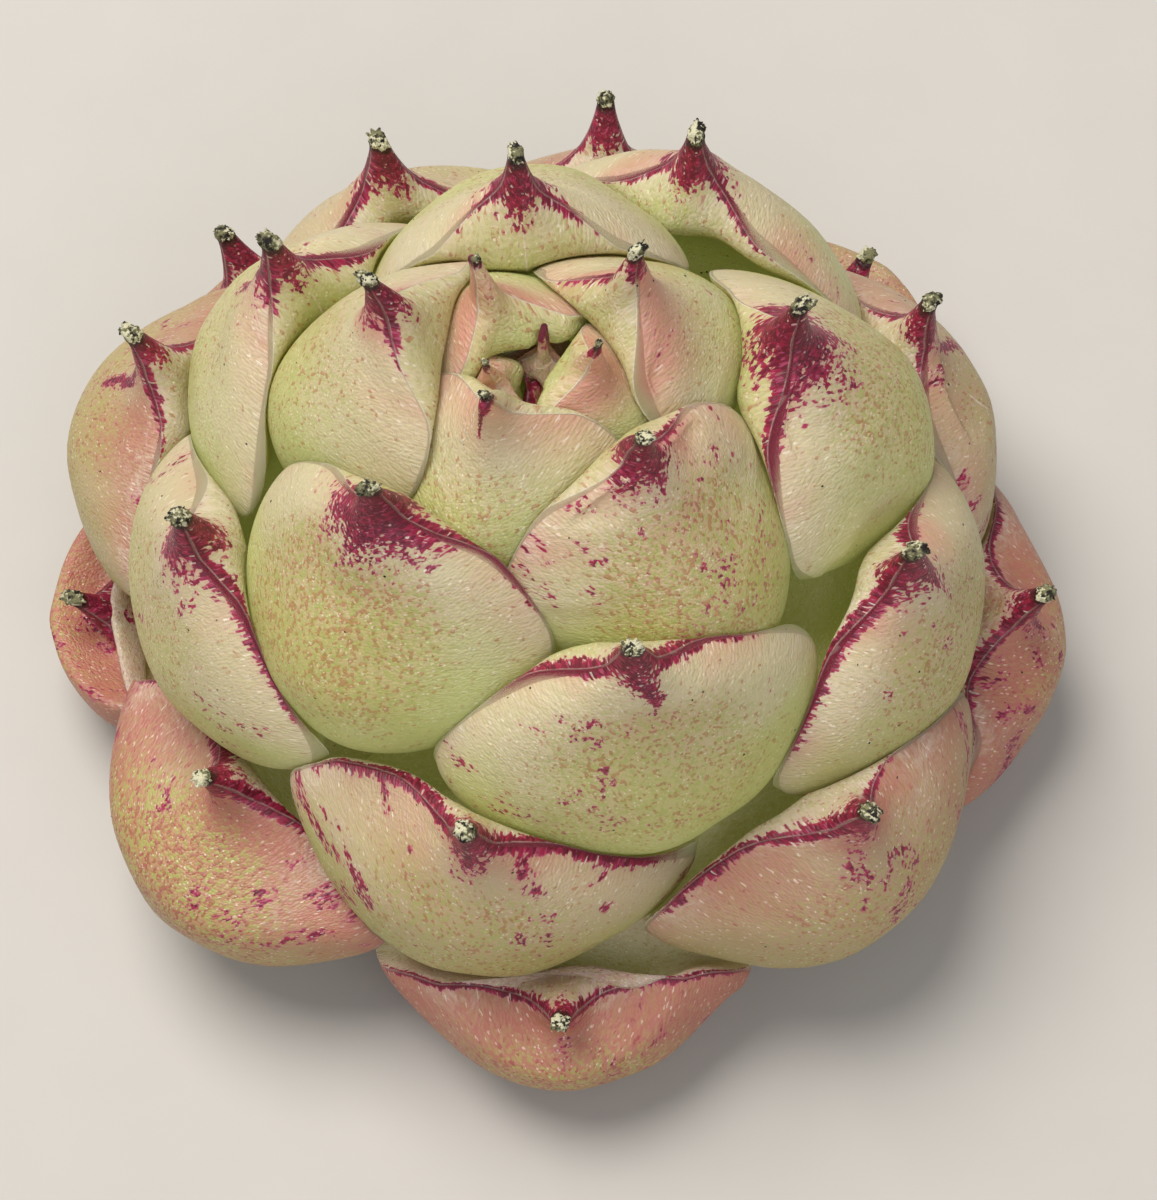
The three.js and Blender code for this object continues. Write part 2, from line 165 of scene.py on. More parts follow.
def leafSizes(rank):
    form = rosetteForm

    def size(name):
        return atRank(form[name], rank)

    reach = form["reachMore"].get(rank, 0)
    lift = form["liftMore"].get(rank, 0)
    half = size("width") / 2
    turn = form["divergence"] * (rank - form["frontRank"]) + form["turned"].get(rank, 0)
    return {
        "rank": rank,
        "azimuth": math.radians(form["frontAzimuth"] + turn),
        "tip": np.array([size("tipOut") + reach, size("tipUp") + lift]),
        "belly": np.array([
            size("bellyOut") + 0.7 * reach + form["bellyMore"].get(rank, 0),
            size("bellyUp") + 0.5 * lift,
        ]),
        "root": np.array([float(stemRadius(size("rootUp"))) + form["gap"], size("rootUp")]),
        "rootLean": size("rootLean"),
        "apexLean": size("apexLean"),
        "halfWidth": half * form["narrowed"].get(rank, 1),
        "thickness": size("thickness"),
        "wrapRadius": size("wrapRadius"),
        "tipHalfWidth": size("tipWidth") / 2,
        "shoulderDrop": size("shoulderDrop"),
        "hornLean": size("hornLean"),
        "hornLength": min(2.7, 1.3 + 0.24 * half),
        "hornFlare": min(0.9, 0.13 * half),
        "skew": math.tan(math.radians(form["skew"].get(rank, 0))),
    }


def arch(start, leaving, startPull, end, arriving, endPull):
    chord = np.linalg.norm(end - start)
    first = start + startPull * chord * heading(leaving)
    second = end - endPull * chord * heading(arriving)
    t = np.linspace(0, 1, 61)[:, None]
    q = 1 - t
    return q**3 * start + 3 * q * q * t * first + 3 * q * t * t * second + t**3 * end


def keelLine(leaf):
    # Middle of the outer face, from root to horn tip, with its smoothed direction
    form = rosetteForm
    lean, hornLean = leaf["apexLean"], leaf["hornLean"]
    apex = leaf["tip"] - leaf["hornLength"] * heading(mix(lean, hornLean, 0.6))
    line = np.concatenate([
        arch(leaf["root"], leaf["rootLean"], 0.45, leaf["belly"], 90, 0.42),
        arch(leaf["belly"], 90, 0.42, apex, lean, 0.34)[1:],
        arch(apex, lean, 0.35, leaf["tip"], hornLean, 0.4)[1:],
    ])
    reached = np.concatenate([[0], np.cumsum(np.linalg.norm(np.diff(line, axis=0), axis=1))])
    steps = 240
    even = np.linspace(0, reached[-1], steps + 1)
    points = np.stack([np.interp(even, reached, line[:, k]) for k in (0, 1)], 1)
    ahead = np.gradient(points, axis=0)
    turns = np.unwrap(np.arctan2(ahead[:, 1], ahead[:, 0]))
    window = min(form["bendWindow"], form["bendShare"] * reached[-1])
    reach = round(window * steps / reached[-1])
    box = np.ones(2 * reach + 1) / (2 * reach + 1)
    for _ in range(3):
        turns = np.convolve(np.pad(turns, reach, mode="edge"), box, "valid")
    return {"length": reached[-1], "shares": even / reached[-1], "points": points, "turns": turns}


def halfWidthAt(leaf, share, fromTip):
    full = leaf["halfWidth"]
    petiole = mix(rosetteForm["petioleShare"], 1, smoothstep(-0.08, 0.7, share))
    shoulder = np.maximum(0, fromTip - 0.2 * full - leaf["shoulderDrop"]) / (0.4 * full)
    body = full * petiole * (1 - np.exp(-(shoulder**1.35)))
    h = np.minimum(fromTip / leaf["hornLength"], 1.6)
    horn = leaf["tipHalfWidth"] + leaf["hornFlare"] * (0.3 * h + 0.7 * h * h)
    return (body**2.6 + horn**2.6) ** (1 / 2.6)


def thicknessAt(leaf, share, fromTip, half):
    body = leaf["thickness"] * mix(0.26, 1, smoothstep(0, 0.5, share))
    body = body * (1 - np.exp(-((fromTip / (0.6 * leaf["halfWidth"] + 0.5)) ** 1.15)))
    intoHorn = np.minimum(fromTip, leaf["hornLength"])
    horn = np.minimum(1.7 * half, 1.6 * leaf["tipHalfWidth"] + 0.45 * intoHorn)
    return np.maximum(body, horn)


def leafGrid(leaf, keel, rows, columns, crowding):
    # Rows of points on both faces, from root to tip; rows crowd towards the tip
    share = 1 - (1 - np.linspace(0, 1, rows)) ** crowding
    base = np.stack([np.interp(share, keel["shares"], keel["points"][:, k]) for k in (0, 1)], 1)
    turn = np.interp(share, keel["shares"], keel["turns"])
    forward = np.stack([np.cos(turn), np.sin(turn)], 1)
    inward = np.stack([-forward[:, 1], forward[:, 0]], 1)
    fromTip = (1 - share) * keel["length"]
    half = halfWidthAt(leaf, share, fromTip)
    thick = thicknessAt(leaf, share, fromTip, half)[:, None]
    blade = smoothstep(0.7, 1.5, fromTip / leaf["hornLength"])
    margin = mix(0.5, rosetteForm["marginHeight"], blade)[:, None]
    wrap = (blade * smoothstep(0.35, 0.75, share) / (2 * leaf["wrapRadius"]))[:, None]
    shear = (leaf["skew"] * blade * smoothstep(0.3, 0.6, share))[:, None]
    across = np.cos(np.linspace(0, np.pi, columns))[None, :]
    side = half[:, None] * across
    edge = np.abs(across)
    lift = side * side * wrap
    rises = {
        "outer": lift + thick * margin * (1 - np.maximum(0, 1 - edge**1.95) ** 0.64),
        "inner": lift + thick * (margin + (1 - margin) * np.sqrt(np.maximum(0, 1 - edge**2))),
    }
    east, north = math.cos(leaf["azimuth"]), math.sin(leaf["azimuth"])

    def place(flatX, flatY, sideways):
        return np.stack([flatX * east - sideways * north, flatX * north + sideways * east, flatY], -1)

    grid = {
        "share": share, "side": side, "edge": edge + 0 * side, "half": half[:, None] + 0 * side,
        "fromTip": fromTip[:, None] + 0 * side, "across": across + 0 * side,
        "outward": place(-inward[:, :1] + 0 * side, -inward[:, 1:] + 0 * side, 0 * side),
    }
    for face, rise in rises.items():
        flat = base[:, None, :] + inward[:, None, :] * rise[..., None]
        flat = flat + forward[:, None, :] * (side * shear)[..., None]
        grid[face] = place(flat[..., 0], flat[..., 1], side)
    return grid


def spread(push, along, side, curve):
    # A dent asks its neighbourhood to move too, fading with the square of the distance
    hot = push.ravel() > 1e-6
    if not hot.any():
        return push
    spots = np.stack([along.ravel(), side.ravel()], 1)
    away = ((spots[:, None] - spots[None, hot]) ** 2).sum(-1)
    wide = np.maximum(0, (push.ravel()[hot][None] - curve * away).max(1)).reshape(push.shape)
    for _ in range(4):
        soft = wide
        for _ in range(2):
            soft = np.pad(soft, 1, mode="edge")
            soft = (soft[:-2] + 2 * soft[1:-1] + soft[2:]) / 4
            soft = (soft[:, :-2] + 2 * soft[:, 1:-1] + soft[:, 2:]) / 4
        wide = np.maximum(push, soft)
    return wide


def pushFrom(grid, blockers):
    # How far each point of the inner face has to move outwards to clear the younger leaves
    reach = rosetteForm["pressReach"]
    push = np.zeros(grid["side"].shape)
    points, outwards = grid["inner"], grid["outward"]
    for spot in np.ndindex(push.shape):
        point, outward = points[spot], outwards[spot]
        for tree, low, high in blockers:
            if np.any(point < low - reach) or np.any(point > high + reach):
                continue
            hit = tree.ray_cast(Vector(point + reach * outward), Vector(-outward), 3 * reach)
            if hit[0] is not None:
                push[spot] = max(push[spot], reach - hit[3] + rosetteForm["gap"])
    return push


def settled(points):
    # A leaf's base clasps the stem, and a leaf that would reach below the surface lies flat on it
    form = rosetteForm
    least = stemRadius(points[..., 2]) + form["gap"]
    out = np.hypot(points[..., 0], points[..., 1])
    low = points[..., 2] < form["stemHeight"] + form["stemDome"]
    grow = np.where(low & (out < least), least / np.maximum(out, 1e-6), 1)
    moved = points.copy()
    moved[..., 0] *= grow
    moved[..., 1] *= grow
    moved[..., 2] = np.maximum(moved[..., 2], 0.002)
    return moved


def ringsOf(inner, outer):
    return np.concatenate([inner, outer[:, -2:0:-1]], 1)


def skinFaces(rows, count):
    faces = []
    for row in range(rows - 1):
        for j in range(count):
            a, b = row * count + j, row * count + (j + 1) % count
            faces.append((a, b, b + count, a + count))
    root, tip, top = rows * count, rows * count + 1, (rows - 1) * count
    for j in range(count):
        faces.append((root, (j + 1) % count, j))
        faces.append((tip, top + j, top + (j + 1) % count))
    return faces


def closedSkin(grid, tipRound):
    rings = ringsOf(grid["inner"], grid["outer"])
    last, before = rings[-1].mean(0), rings[-3].mean(0)
    ahead = (last - before) / np.linalg.norm(last - before)
    points = np.concatenate([rings.reshape(-1, 3), [rings[0].mean(0)], [last + tipRound * ahead]])
    return settled(points), skinFaces(rings.shape[0], rings.shape[1])


def swellTo(grid, push, blockers):
    # A leaf fills out until its inner face lies against the younger leaves
    form = rosetteForm
    limit = form["swelling"]
    room = np.full(push.shape, 9.0)
    points = grid["inner"] + push[..., None] * grid["outward"]
    clear = np.hypot(points[..., 0], points[..., 1]) - stemRadius(points[..., 2]) - form["gap"]
    onStem = points[..., 2] < form["stemHeight"] + form["stemDome"]
    room[onStem] = np.maximum(clear[onStem], 0)
    for spot in np.ndindex(push.shape):
        point, inward = points[spot], -grid["outward"][spot]
        for tree, low, high in blockers:
            if np.any(point < low - 2 * limit) or np.any(point > high + 2 * limit):
                continue
            hit = tree.ray_cast(Vector(point), Vector(inward), 2 * limit + form["gap"])
            if hit[0] is not None:
                room[spot] = min(room[spot], max(0, hit[3] - form["gap"]))
    swell = np.minimum(room, limit) * (1 - smoothstep(limit, 2 * limit, room))
    for _ in range(3):
        swell = np.pad(swell, 1, mode="edge")
        swell = (swell[:-2] + 2 * swell[1:-1] + swell[2:]) / 4
        swell = (swell[:, :-2] + 2 * swell[:, 1:-1] + swell[:, 2:]) / 4
    return np.minimum(swell, room)


def pressed(grid, push, relief):
    made = dict(grid)
    made["inner"] = grid["inner"] + push[..., None] * grid["outward"]
    made["outer"] = grid["outer"] + relief[..., None] * grid["outward"]
    for end in (0, -1):
        made["outer"][:, end] = made["inner"][:, end]
    return made


def pressLeaf(leaf, keel, blockers):
    form = rosetteForm
    grid = leafGrid(leaf, keel, form["pressRows"], form["pressColumns"], form["pressCrowding"])
    along = grid["share"][:, None] * keel["length"] + 0 * grid["side"]
    push = spread(pushFrom(grid, blockers), along, grid["side"], 0.025)
    left = ((grid["outer"] - grid["inner"] - push[..., None] * grid["outward"]) * grid["outward"]).sum(-1)
    least = form["leastThickness"] * np.sqrt(np.maximum(0, 1 - grid["edge"] ** 2.3))
    relief = spread(np.maximum(0, least - left), along, grid["side"], 0.2)
    free = smoothstep(0.7, 1.6, grid["fromTip"] / leaf["hornLength"]) * (1 - 0.5 * grid["edge"] ** 4)
    free = free * smoothstep(0.1, 0.4, grid["share"])[:, None]
    swell = swellTo(grid, push, blockers) * free
    push = push - swell
    relief = np.where(push > 0, np.maximum(relief, push * grid["edge"] ** 3), push * grid["edge"] ** 3)
    points, faces = closedSkin(pressed(grid, push, relief), 0.5 * leaf["tipHalfWidth"])
    blocker = BVHTree.FromPolygons([tuple(p) for p in points], faces), points.min(0), points.max(0)
    return grid["share"], push, relief, blocker


def finer(values, share, fineShare, columns):
    # Carries a coarse field over to the fine grid
    angle = np.linspace(0, 1, values.shape[1])
    wide = np.stack([np.interp(np.linspace(0, 1, columns), angle, row) for row in values])
    return np.stack([np.interp(fineShare, share, wide[:, j]) for j in range(columns)], 1)


def softNoise(x, y, seed):
    column, row = np.floor(x), np.floor(y)

    def corner(i, j):
        value = np.sin((column + i) * 127.1 + (row + j) * 311.7 + seed * 74.7) * 43758.5453
        return value - np.floor(value)

    tx, ty = x - column, y - row
    tx, ty = tx * tx * (3 - 2 * tx), ty * ty * (3 - 2 * ty)
    near = mix(corner(0, 0), corner(1, 0), tx)
    return mix(near, mix(corner(0, 1), corner(1, 1), tx), ty)


# Markings of the leaves, in millimetres from the horn's tip or from the margin. Right is the +side margin.
# A dry end below zero leaves the tip fresh.
leafMarks = {
    "usual": {
        "horn": 3.0, "rimLeft": 4.5, "rimRight": 4.5, "rimWidth": 0.55, "streak": 4.5, "streakWidth": 0.45,
        "blotch": 0.4, "freckle": 0.5, "dry": 0.32, "blush": 0.0,
    },
    0: {"horn": 1.3, "rimLeft": 3, "rimRight": 3, "freckle": 0, "dry": -1, "blotch": 0, "blush": 1.2},
    1: {"horn": 1.0, "rimLeft": 2, "rimRight": 2, "freckle": 0, "dry": -1, "blotch": 0, "blush": 1.2},
    2: {
        "horn": 0.9, "rimLeft": 0, "rimRight": 0, "freckle": 0, "dry": -1, "blotch": 0, "streak": 0,
        "blush": 0.9,
    },
    3: {
        "horn": 0.6, "rimLeft": 0.5, "rimRight": 0.5, "freckle": 0.1, "dry": 0.15, "blotch": 0,
        "streak": 0, "blush": 0.75,
    },
    4: {
        "horn": 0.5, "rimLeft": 1, "rimRight": 0.5, "freckle": 0.1, "dry": 0.22, "blotch": 0,
        "streak": 0, "blush": 0.7,
    },
    5: {
        "horn": 0.5, "rimLeft": 0.5, "rimRight": 0.5, "freckle": 0.2, "dry": 0.12, "blotch": 0.1,
        "streak": 0, "blush": 0.5,
    },
    6: {
        "horn": 0.9, "rimLeft": 0.8, "rimRight": 0.8, "dry": 0.4, "blotch": 0.15, "streak": 3.6,
        "streakWidth": 0.16, "blush": 0.35,
    },
    7: {"horn": 1.3, "rimLeft": 1.5, "rimRight": 3.5, "freckle": 0.3, "streak": 1.2, "blush": 0.35},
    8: {"horn": 2.4, "rimLeft": 2, "rimRight": 3, "streak": 3.2, "blotch": 0.15, "blush": 0.1},
    9: {
        "horn": 2.9, "rimLeft": 2, "rimRight": 4, "freckle": 0.9, "streak": 3.8, "blotch": 0.6,
        "blush": 0.2,
    },
    10: {"horn": 2.8, "rimLeft": 3.4, "rimRight": 3.4, "streak": 2, "blotch": 0.25},
    11: {"horn": 4.0, "rimLeft": 3.2, "rimRight": 6.5, "freckle": 1, "streak": 5.2, "blotch": 0.2},
    12: {
        "horn": 4.1, "rimLeft": 6, "rimRight": 2.5, "rimWidth": 0.8, "freckle": 0.7, "streak": 2.6,
        "blotch": 0.4,
    },
    13: {"horn": 2.7, "rimLeft": 5, "rimRight": 3, "streak": 7.5, "streakWidth": 0.55, "blotch": 0.3},
    14: {
        "horn": 2.4, "rimLeft": 5.4, "rimRight": 5.6, "rimWidth": 0.75, "freckle": 0.7, "streak": 5.2,
        "streakWidth": 0.55, "blotch": 0.9, "dry": 0.5,
    },
    16: {
        "horn": 3.2, "rimLeft": 3, "rimRight": 8, "rimWidth": 0.65, "freckle": 0.6, "blotch": 0.7,
        "dry": 0.45,
    },
    17: {
        "horn": 2.8, "rimLeft": 8, "rimRight": 5, "rimWidth": 0.65, "freckle": 0.7, "blotch": 0.6,
        "dry": 0.45,
    },
    18: {"horn": 2.8, "rimLeft": 6, "rimRight": 6, "streak": 2},
    19: {
        "horn": 2.4, "rimLeft": 8, "rimRight": 8.5, "rimWidth": 0.7, "freckle": 0.6, "streak": 4.2,
        "streakWidth": 0.6, "blotch": 1.2, "blush": 0.1, "dry": 0.55,
    },
    20: {
        "horn": 2.2, "rimLeft": 4, "rimRight": 4, "streak": 11, "streakWidth": 0.32, "blotch": 1.1,
        "blush": 0.2,
    },
    21: {
        "horn": 2.2, "rimLeft": 4, "rimRight": 4, "streak": 10, "streakWidth": 0.3, "blotch": 0.7,
        "blush": 0.1,
    },
    22: {
        "horn": 2.2, "rimLeft": 9, "rimRight": 4, "streak": 3.2, "streakWidth": 0.7, "blotch": 0.9,
        "blush": 0.1,
    },
    24: {
        "horn": 2.3, "rimLeft": 9, "rimRight": 7, "rimWidth": 0.6, "streak": 3.5, "blotch": 0.9,
        "freckle": 1.1, "blush": 0.3,
    },
    25: {"horn": 2.0, "rimLeft": 6, "rimRight": 7, "streak": 5, "blotch": 1.0, "blush": 0.5},
    27: {
        "horn": 1.6, "rimLeft": 9, "rimRight": 9, "rimWidth": 0.35, "streak": 1.6, "blotch": 0.8,
        "freckle": 0.9, "blush": 0.5,
    },
    29: {"blotch": 1.0, "blush": 0.7},
}


def marksOf(rank):
    return dict(leafMarks["usual"], **leafMarks.get(rank, {}))


def rimDistance(points):
    # Distance over the surface from the nearer margin
    steps = np.linalg.norm(np.diff(points, axis=1), axis=-1)
    fromLeft = np.pad(np.cumsum(steps, 1), ((0, 0), (1, 0)))
    return np.minimum(fromLeft, fromLeft[:, -1:] - fromLeft)


def leafFields(leaf, grid, face):
    # Where the pigments, the wax, the lines and the painted glow lie, for the skin's material
    marks = marksOf(leaf["rank"])
    inside = face == "inner"
    seed = leaf["rank"] * 7.3 + (3.1 if inside else 0)
    fromTip, side, half = grid["fromTip"], grid["side"], grid["half"]
    rim = rimDistance(grid[face])
    wander = softNoise(fromTip * 0.55, side * 0.55, seed)
    cloud = 0.65 * softNoise(fromTip * 0.4, side * 0.4, seed + 31)
    cloud = cloud + 0.35 * softNoise(fromTip, side, seed + 37)
    fine = softNoise(fromTip * 0.5, side * 2.6, seed + 11)
    away = np.hypot(fromTip, 1.2 * side) * (1.35 if inside else 1)
    horn = 1.9 * np.exp(-((away / (marks["horn"] * (0.85 + 0.3 * fine))) ** 2.6))
    reach = np.where(side > 0, marks["rimRight"], marks["rimLeft"]) + 0.01
    rimWidth = marks["rimWidth"] * (0.5 + 0.9 * wander) * (1 - 0.6 * smoothstep(0, 1.2 * reach, fromTip))
    rimBand = 1.5 * np.exp(-((rim / rimWidth) ** 2)) * (1 - smoothstep(0.6 * reach, 1.2 * reach, fromTip))
    drift = (wander - 0.5) * 1.1
    streakWidth = marks["streakWidth"] * (1.4 - 0.9 * smoothstep(0, marks["streak"] + 0.01, fromTip))
    streak = 1.45 * np.exp(-(((side - drift) / streakWidth) ** 2))
    streak = streak * (1 - smoothstep(0.55 * marks["streak"], 1.05 * marks["streak"] + 0.01, fromTip))
    clusters = softNoise(fromTip * 1.5, side * 1.5, seed + 23)
    clusters = clusters * (0.4 + softNoise(fromTip * 0.35, side * 0.35, seed + 5))
    blotch = 0.72 * marks["blotch"] * smoothstep(0.5, 0.95, clusters) * (1 - smoothstep(8, 14, fromTip))
    if inside:
        horn = horn * (0.9 if leaf["rank"] > 7 else 0.5)
        streak, blotch = 0 * streak, 0.1 * blotch
    red = np.maximum(np.maximum(horn, rimBand), np.maximum(streak, blotch))
    old = smoothstep(0.62, 0.95, leaf["rank"] / (rosetteForm["leafCount"] - 1))
    high = 1 - smoothstep(2, 8, fromTip)
    byMargin = np.exp(-((rim / 1.6) ** 1.5))
    young = 1 - smoothstep(3, 9, leaf["rank"])
    # Share of ripening on the older, lower leaves; it also darkens them as painted shade
    ageAndPaintedShade = smoothstep(11, 26, leaf["rank"])
    own = marks["blush"] * mix(1, 1 - smoothstep(1.0, 4.5, fromTip), young)
    blush = 0.15 * high + 0.65 * old + own + 1.2 * (cloud - 0.5) + 0.28 * byMargin
    freckle = marks["freckle"] * smoothstep(2.5, 6, fromTip) * (1 - smoothstep(10, 15, fromTip))
    freckle = freckle * np.exp(-((side / (0.66 * half + 0.1)) ** 4))
    bloom = 0.25 * (1 - smoothstep(0.2, 1.8, rim)) + 0.6 * softNoise(fromTip * 0.4, side * 0.4, seed + 41)
    depth = fromTip * (1 + 0.9 * young) + 7 * (cloud - 0.5) - 3.5 * byMargin
    vein = np.abs(side - 0.25 * drift) + 0.14 * (1 - smoothstep(1.5, 3.0, fromTip))
    vein = vein + 0.14 * smoothstep(6, 10, fromTip)
    if inside:
        freckle = 0.15 * freckle + 0.3 * high
        bloom = bloom + 0.7 * smoothstep(10, 22, leaf["rank"])
        blush = blush - 0.35
        depth = depth + 6.5
    paleLine = vein if inside else creaseLine(leaf, grid)
    # Painted glow: emission on the inner faces and on the deep parts of the younger leaves' outer faces,
    # standing in for light through the flesh
    paintedGlowShare = 1.0 if inside else 0.8 * float(1 - smoothstep(15, 19, leaf["rank"]))
    paintedGlow = paintedGlowShare * smoothstep(5, 13, fromTip)
    return {
        "pigment": np.stack([red, blush, freckle], -1),
        "coat": np.stack([bloom, np.minimum(rim + 0.01, paleLine), marks["dry"] - fromTip], -1),
        "paintedGlowAndAge": np.stack([paintedGlow, ageAndPaintedShade + 0 * side, 0 * side], -1),
        "place": np.stack([fromTip + 31 * seed, side + 17 * seed, depth], -1),
    }


# Pale lines where a younger neighbour's margin was pressed in: side and slant, by rank, on the outer face
leafCreases = {
    5: (-0.9, -0.22), 6: (-0.7, -0.2), 7: (-0.2, 0.05), 9: (2.2, 0.32), 11: (-4.2, -0.12), 12: (-2.4, -0.1),
    14: (1.2, 0.1), 17: (-3.0, -0.2), 20: (-1.6, -0.2), 22: (-2.0, 0.1),
}


def creaseLine(leaf, grid):
    if leaf["rank"] not in leafCreases:
        return 9 + 0 * grid["side"]
    start, slant = leafCreases[leaf["rank"]]
    path = start + slant * grid["fromTip"] + 0.5 * np.sin(grid["fromTip"] * 0.45)
    faint = 0.14 * smoothstep(8, 13, grid["fromTip"]) + 0.14 * smoothstep(2.5, 1, grid["fromTip"])
    return np.abs(grid["side"] - path) + faint


leafGridding = {"rows": 96, "columns": 45, "crowding": 1.8}


def detailed(leaf, grid):
    # A soft keel under the horn, slight unevenness, and the knobbly dry end
    fromTip, side = grid["fromTip"], grid["side"]
    ridge = 0.22 * np.exp(-((side / 0.8) ** 2)) * smoothstep(0.5, 1.8, fromTip)
    ridge = ridge * (1 - smoothstep(3, 8, fromTip)) * min(1, leaf["halfWidth"] / 5)
    rough = softNoise(fromTip * 0.45, side * 0.45, leaf["rank"] * 3.7) - 0.5
    body = smoothstep(2, 5, fromTip) * (1 - grid["edge"] ** 4)
    made = dict(grid)
    made["outer"] = grid["outer"] + ((ridge + 0.22 * rough * body)[..., None]) * grid["outward"]
    marks = marksOf(leaf["rank"])
    crown = smoothstep(marks["dry"] + 0.1, 0.6 * marks["dry"], fromTip) if marks["dry"] > 0 else 0 * fromTip
    middle = 0.5 * (grid["inner"] + grid["outer"]).mean(1, keepdims=True)
    for face, seed in (("inner", 2.0), ("outer", 9.0)):
        around = np.arccos(np.clip(grid["across"], -1, 1)) * 2
        lumps = softNoise(around * 1.4, fromTip * 7, leaf["rank"] * 1.7 + seed) - 0.42
        lumps = lumps + 0.5 * (softNoise(around * 3.5, fromTip * 16, leaf["rank"] * 2.9 + seed) - 0.5)
        lumps = lumps * np.sqrt(np.maximum(0, 1 - grid["edge"] ** 6))
        made[face] = made[face] + (0.75 * lumps * crown)[..., None] * (made[face] - middle)
    return made


def leafPiece(rank, blockers, materials):
    leaf = leafSizes(rank)
    keel = keelLine(leaf)
    share, push, relief, blocker = pressLeaf(leaf, keel, blockers)
    blockers.append(blocker)
    rows, columns = leafGridding["rows"], leafGridding["columns"]
    grid = leafGrid(leaf, keel, rows, columns, leafGridding["crowding"])
    fine = [finer(values, share, grid["share"], columns) for values in (push, relief)]
    grid = detailed(leaf, pressed(grid, *fine))
    points, faces = closedSkin(grid, 0.5 * leaf["tipHalfWidth"])
    name = f"leaf_{rank + 1:02d}"
    mesh = bpy.data.meshes.new(f"echeveriaLeaf{rank + 1:02d}")
    mesh.from_pydata([tuple(p * mm) for p in points], [], faces)
    mesh.shade_smooth()
    inner, outer = leafFields(leaf, grid, "inner"), leafFields(leaf, grid, "outer")
    for field in inner:
        rings = ringsOf(inner[field], outer[field])
        values = np.concatenate([rings.reshape(-1, 3), [rings[0].mean(0)], [rings[-1].mean(0)]])
        layer = mesh.attributes.new(field, "FLOAT_VECTOR", "POINT")
        layer.data.foreach_set("vector", values.astype(np.float32).ravel())
    piece = bpy.data.objects.new(mesh.name, mesh)
    bpy.context.scene.collection.objects.link(piece)
    for material in materials:
        mesh.materials.append(material)
    dry = marksOf(rank)["dry"]
    dryCorners = np.append(ringsOf(grid["fromTip"], grid["fromTip"]).ravel() < dry, [False, dry > 0])
    dryFaces = np.array([dryCorners[list(face)].all() for face in faces])
    mesh.polygons.foreach_set("material_index", dryFaces.astype(np.int32))
    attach(piece, "root")
    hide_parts(name)
    return piece


# Small helpers for node trees
def addNode(tree, kind, **settings):
    made = tree.nodes.new(kind)
    for name, value in settings.items():
        setattr(made, name, value)
    return made


def feed(tree, socket, value):
    if isinstance(value, bpy.types.NodeSocket):
        tree.links.new(value, socket)
    else:
        socket.default_value = value


def sums(tree, operation, *values, clamp=False):
    made = addNode(tree, "ShaderNodeMath", operation=operation, use_clamp=clamp)
    for socket, value in zip(made.inputs, values):
        feed(tree, socket, value)
    return made.outputs[0]


def between(tree, value, low, high, start=0.0, stop=1.0):
    made = addNode(tree, "ShaderNodeMapRange", interpolation_type="SMOOTHSTEP")
    items = {"Value": value, "From Min": low, "From Max": high, "To Min": start, "To Max": stop}
    for name, item in items.items():
        feed(tree, made.inputs[name], item)
    return made.outputs["Result"]


def blended(tree, share, first, second, kind="MIX"):
    made = addNode(tree, "ShaderNodeMix", data_type="RGBA", blend_type=kind)
    feed(tree, made.inputs[0], share)
    feed(tree, made.inputs[6], first)
    feed(tree, made.inputs[7], second)
    return made.outputs[2]


def ink(code):
    parts = [int(code[k:k + 2], 16) / 255 for k in (1, 3, 5)]
    return (*[p / 12.92 if p <= 0.04045 else ((p + 0.055) / 1.055) ** 2.4 for p in parts], 1.0)


def attribute(tree, name):
    made = addNode(tree, "ShaderNodeAttribute", attribute_name=name)
    apart = addNode(tree, "ShaderNodeSeparateXYZ")
    tree.links.new(made.outputs["Vector"], apart.inputs[0])
    return made.outputs["Vector"], apart.outputs[0], apart.outputs[1], apart.outputs[2]


def noise(tree, place, scale, detail=2.0, rough=0.5):
    made = addNode(tree, "ShaderNodeTexNoise", noise_dimensions="3D")
    tree.links.new(place, made.inputs["Vector"])
    made.inputs["Scale"].default_value = scale
    made.inputs["Detail"].default_value = detail
    made.inputs["Roughness"].default_value = rough
    return made.outputs["Fac"]


def stretched(tree, place, scale):
    made = addNode(tree, "ShaderNodeVectorMath", operation="MULTIPLY")
    tree.links.new(place, made.inputs[0])
    made.inputs[1].default_value = scale
    return made.outputs[0]


def bumped(tree, height, distance, strength):
    made = addNode(tree, "ShaderNodeBump")
    feed(tree, made.inputs["Height"], height)
    made.inputs["Distance"].default_value = distance
    made.inputs["Strength"].default_value = strength
    return made.outputs[0]


def newGroup(name, inputs, outputs):
    tree = bpy.data.node_groups.new(name, "ShaderNodeTree")
    for label, kind, value in inputs:
        socket = tree.interface.new_socket(label, in_out="INPUT", socket_type=kind)
        if value is not None:
            socket.default_value = value
    for label, kind in outputs:
        tree.interface.new_socket(label, in_out="OUTPUT", socket_type=kind)
    return tree, tree.nodes.new("NodeGroupInput"), tree.nodes.new("NodeGroupOutput")


def placeGroup(tree, group, **values):
    made = addNode(tree, "ShaderNodeGroup", node_tree=group)
    for label, value in values.items():
        feed(tree, made.inputs[label], value)
    return made.outputs


